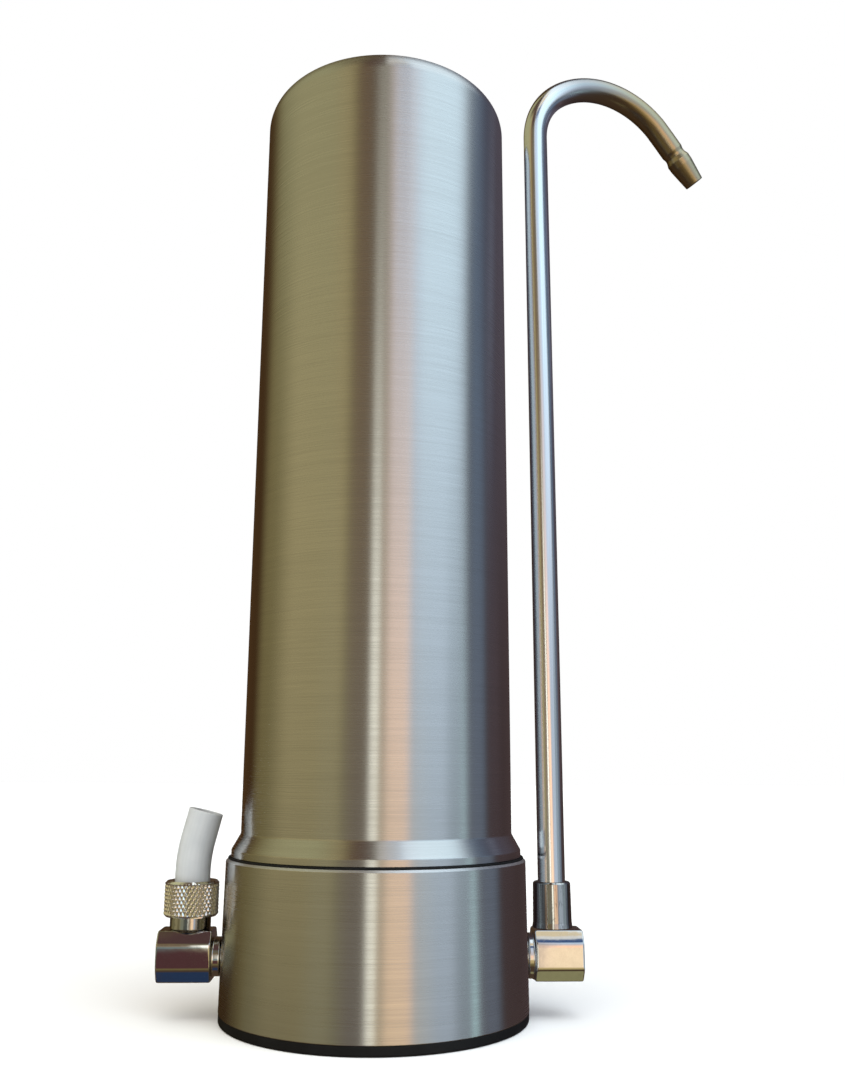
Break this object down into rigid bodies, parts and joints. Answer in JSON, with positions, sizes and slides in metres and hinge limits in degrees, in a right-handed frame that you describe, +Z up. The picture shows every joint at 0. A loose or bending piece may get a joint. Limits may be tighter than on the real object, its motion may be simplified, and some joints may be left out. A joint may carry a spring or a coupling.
{
  "type": "countertop water filter",
  "caption": "Free-standing countertop water filter: a brushed steel canister screwed on a base ring, a hose inlet with a knurled nut and a swivelling gooseneck spout.",
  "frame": {"origin": "centre of the foot's flat underside, on the canister's axis", "axes": "+Z up along the canister's axis; the hose inlet is on -X and the spout on +X; the front, as pictured, faces -Y"},
  "size_m": [0.214, 0.1054, 0.3743],
  "materials": {
    "brushed_shell": "fine brushed around the axis",
    "chrome": "polished",
    "polished_tube": "polished",
    "black_rubber": "satin",
    "hose_white": "translucent satin",
    "moulded_grey": "fine moulded texture",
    "zinc_steel": "plated",
    "brass": "turned",
    "acetal": "satin",
    "bush_black": "satin",
    "carbon": "grainy",
    "fleece": "non-woven",
    "cap_blue": "moulded",
    "core_white": "moulded"
  },
  "bodies": {
    "base": {"foot_pad": "black_rubber", "base_plate": "zinc_steel", "base_screws": "zinc_steel", "base_ring": "brushed_shell", "head": "moulded_grey", "inlet_elbow": "chrome", "inlet_o_ring": "black_rubber", "inlet_stem": "chrome", "inlet_hose": "hose_white", "hose_insert": "brass", "outlet_elbow": "chrome", "outlet_o_ring": "black_rubber", "spout_collar": "chrome", "spout_bush": "bush_black"},
    "ferrule": {"hose_ferrule": "acetal"},
    "nut": {"knurled_nut": "chrome"},
    "spout": {"spout_tube": "polished_tube", "spout_o_rings": "black_rubber", "spout_clip": "zinc_steel"},
    "gasket": {"seam_gasket": "black_rubber"},
    "shell_seal": {"shell_o_ring": "black_rubber"},
    "canister": {"shell": "brushed_shell", "shell_thread_ring": "zinc_steel"},
    "cartridge": {"carbon_block": "carbon", "cartridge_wrap": "fleece", "cartridge_core": "core_white", "cartridge_top_cap": "cap_blue", "cartridge_bottom_cap": "cap_blue", "cartridge_o_rings": "black_rubber"}
  },
  "joints": [
    {"name": "spout_swivel", "type": "hinge", "parent": "base", "child": "spout", "pos_m": [0.0618, 0, 0.036], "axis": [0, 0, 1], "range_deg": [-132, 92]},
    {"name": "nut_rise", "type": "slide", "parent": "base", "child": "ferrule", "axis": [0, 0, 1], "range_m": [0, 0.0031]},
    {"name": "nut_turn", "type": "hinge", "parent": "ferrule", "child": "nut", "pos_m": [-0.0639, 0, 0.038], "axis": [0, 0, 1], "range_deg": [0, 1080]},
    {"name": "shell_lift", "type": "slide", "parent": "base", "child": "shell_seal", "axis": [0, 0, 1], "range_m": [0, 0.3]},
    {"name": "shell_rise", "type": "slide", "parent": "shell_seal", "child": "gasket", "axis": [0, 0, 1], "range_m": [0, 0.0121]},
    {"name": "shell_turn", "type": "hinge", "parent": "gasket", "child": "canister", "pos_m": [0, 0, 0.06], "axis": [0, 0, 1], "range_deg": [0, 1080]},
    {"name": "cartridge_pull", "type": "slide", "parent": "base", "child": "cartridge", "axis": [0, 0, 1], "range_m": [0, 0.03]}
  ],
  "couplings": [
    {"joint": "nut_rise", "follows": "nut_turn", "m_per_rad": 0.00015915},
    {"joint": "shell_rise", "follows": "shell_turn", "m_per_rad": 0.00063662}
  ]
}
